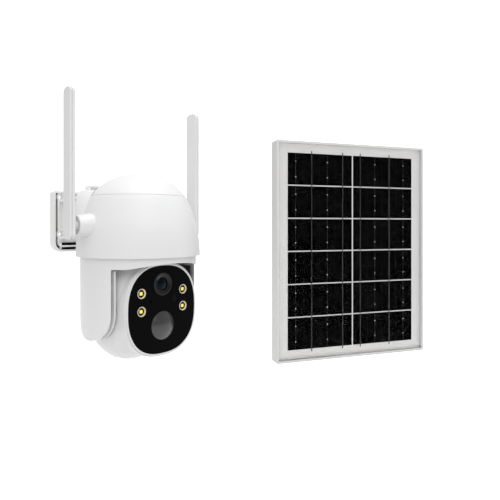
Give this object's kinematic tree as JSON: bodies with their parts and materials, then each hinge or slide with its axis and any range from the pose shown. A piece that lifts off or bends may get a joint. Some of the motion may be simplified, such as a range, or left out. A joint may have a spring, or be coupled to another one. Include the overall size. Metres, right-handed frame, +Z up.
{
  "type": "solar security camera",
  "caption": "Wall-mounted pan and tilt security camera with hinged antennas, spotlights and a motion sensor, and a separate framed solar panel on a swivelling wall bracket.",
  "frame": {"origin": "centre of the back face of the camera's wall plate, on the wall plane", "axes": "+Y into the wall, +X to the right of someone facing the wall, where the solar panel is, +Z up"},
  "size_m": [0.4717, 0.2087, 0.2975],
  "materials": {
    "housing_white": "fine satin",
    "antenna_white": "satin",
    "yoke_white": "fine satin",
    "bracket_white": "satin",
    "face_black": "polished",
    "lens_black": "satin",
    "lens_glass": "coated",
    "led_cup": "polished",
    "led_die": "phosphor",
    "pir_grey": "satin",
    "circuit": "solder mask",
    "tinned_metal": "satin",
    "steel": "zinc plated",
    "motor_metal": "satin",
    "bearing_acetal": "smooth",
    "rubber_grey": "matte",
    "rubber_black": "matte",
    "battery_wrap": "shrink wrap",
    "panel_frame_white": "powder coat",
    "solar_glass": "clear",
    "silicon": "dark blue-black",
    "ribbon": "tinned",
    "backsheet_white": "film",
    "knob_black": "moulded",
    "button_black": "moulded"
  },
  "bodies": {
    "base": {"wall_plate": "bracket_white", "wall_seal": "rubber_black", "bracket_arm": "bracket_white", "rear_housing": "housing_white", "front_shroud": "housing_white", "top_cap": "housing_white", "housing_floor": "housing_white", "rim_seal": "rubber_grey", "antenna_sockets": "antenna_white", "fixed_fasteners": "steel", "main_board": "circuit", "board_parts": "tinned_metal", "battery_cells": "battery_wrap", "battery_holder": "button_black", "speaker": "button_black", "pan_motor": "motor_metal", "pan_bearing": "bearing_acetal", "charge_inlet": "tinned_metal", "panel_base": "bracket_white"},
    "inlet_flap": {"inlet_cover": "rubber_grey"},
    "left_antenna": {"antenna_outer_left": "antenna_white", "antenna_inner_left": "antenna_white"},
    "right_antenna": {"antenna_outer_right": "antenna_white", "antenna_inner_right": "antenna_white"},
    "yoke": {"yoke": "yoke_white", "cheek_left": "yoke_white", "cheek_right": "button_black", "cheek_screws": "steel", "tilt_bearings": "bearing_acetal", "drive_shafts": "steel"},
    "head": {"head_rear": "housing_white", "head_front": "housing_white", "bezel_ring": "antenna_white", "face_plate": "face_black", "face_seals": "rubber_black", "lens_barrel": "lens_black", "lens_glass": "lens_glass", "led_cups": "led_cup", "led_dies": "led_die", "sensor_boards": "circuit", "pir_dome": "pir_grey", "tilt_motor": "motor_metal", "trunnion": "bearing_acetal", "head_screws": "steel", "card_reader": "tinned_metal"},
    "card_flap": {"card_cover": "rubber_grey"},
    "reset": {"reset_button": "button_black"},
    "panel_arm": {"panel_arm": "bracket_white", "tilt_bolt": "steel"},
    "knob": {"clamp_knob": "knob_black"},
    "panel": {"panel_frame": "panel_frame_white", "panel_glass": "solar_glass", "solar_cells": "silicon", "cell_ribbons": "ribbon", "backsheet": "backsheet_white", "back_plate": "panel_frame_white", "panel_screws": "steel", "saddle": "bracket_white", "junction_box": "button_black", "cable_gland": "button_black"}
  },
  "joints": [
    {"name": "pan", "type": "hinge", "parent": "base", "child": "yoke", "pos_m": [0, -0.078, -0.0308], "axis": [0, 0, 1], "range_deg": [-175, 175]},
    {"name": "tilt", "type": "hinge", "parent": "yoke", "child": "head", "pos_m": [0, -0.078, -0.083], "axis": [1, 0, 0], "range_deg": [-10, 90]},
    {"name": "left_antenna_swing", "type": "hinge", "parent": "base", "child": "left_antenna", "pos_m": [-0.07343, -0.07548, -0.004], "axis": [0.9962, -0.0872, 0], "range_deg": [-10, 180]},
    {"name": "right_antenna_swing", "type": "hinge", "parent": "base", "child": "right_antenna", "pos_m": [0.07343, -0.07548, -0.004], "axis": [0.9962, 0.0872, 0], "range_deg": [-10, 180]},
    {"name": "inlet_flap_hinge", "type": "hinge", "parent": "base", "child": "inlet_flap", "pos_m": [0.05343, -0.04715, -0.0005], "axis": [-0.5, 0.866, 0], "range_deg": [-100, 0]},
    {"name": "card_flap_hinge", "type": "hinge", "parent": "head", "child": "card_flap", "pos_m": [0, -0.07015, -0.13106], "axis": [1, 0, 0], "range_deg": [0, 100]},
    {"name": "reset_press", "type": "slide", "parent": "head", "child": "reset", "axis": [0, 0, 1], "range_m": [0, 0.0007], "stiffness_N_per_m": 300},
    {"name": "panel_swivel", "type": "hinge", "parent": "base", "child": "panel_arm", "pos_m": [0.3614, -0.028, -0.037], "axis": [0, 0, 1], "range_deg": [-25, 84]},
    {"name": "panel_tilt", "type": "hinge", "parent": "panel_arm", "child": "panel", "pos_m": [0.31216, -0.11504, -0.037], "axis": [0.8704, -0.4924, 0], "range_deg": [-35, 20]},
    {"name": "knob_turn", "type": "hinge", "parent": "panel_arm", "child": "knob", "pos_m": [0.31216, -0.11504, -0.037], "axis": [0.8704, -0.4924, 0], "range_deg": [-180, 180]}
  ]
}
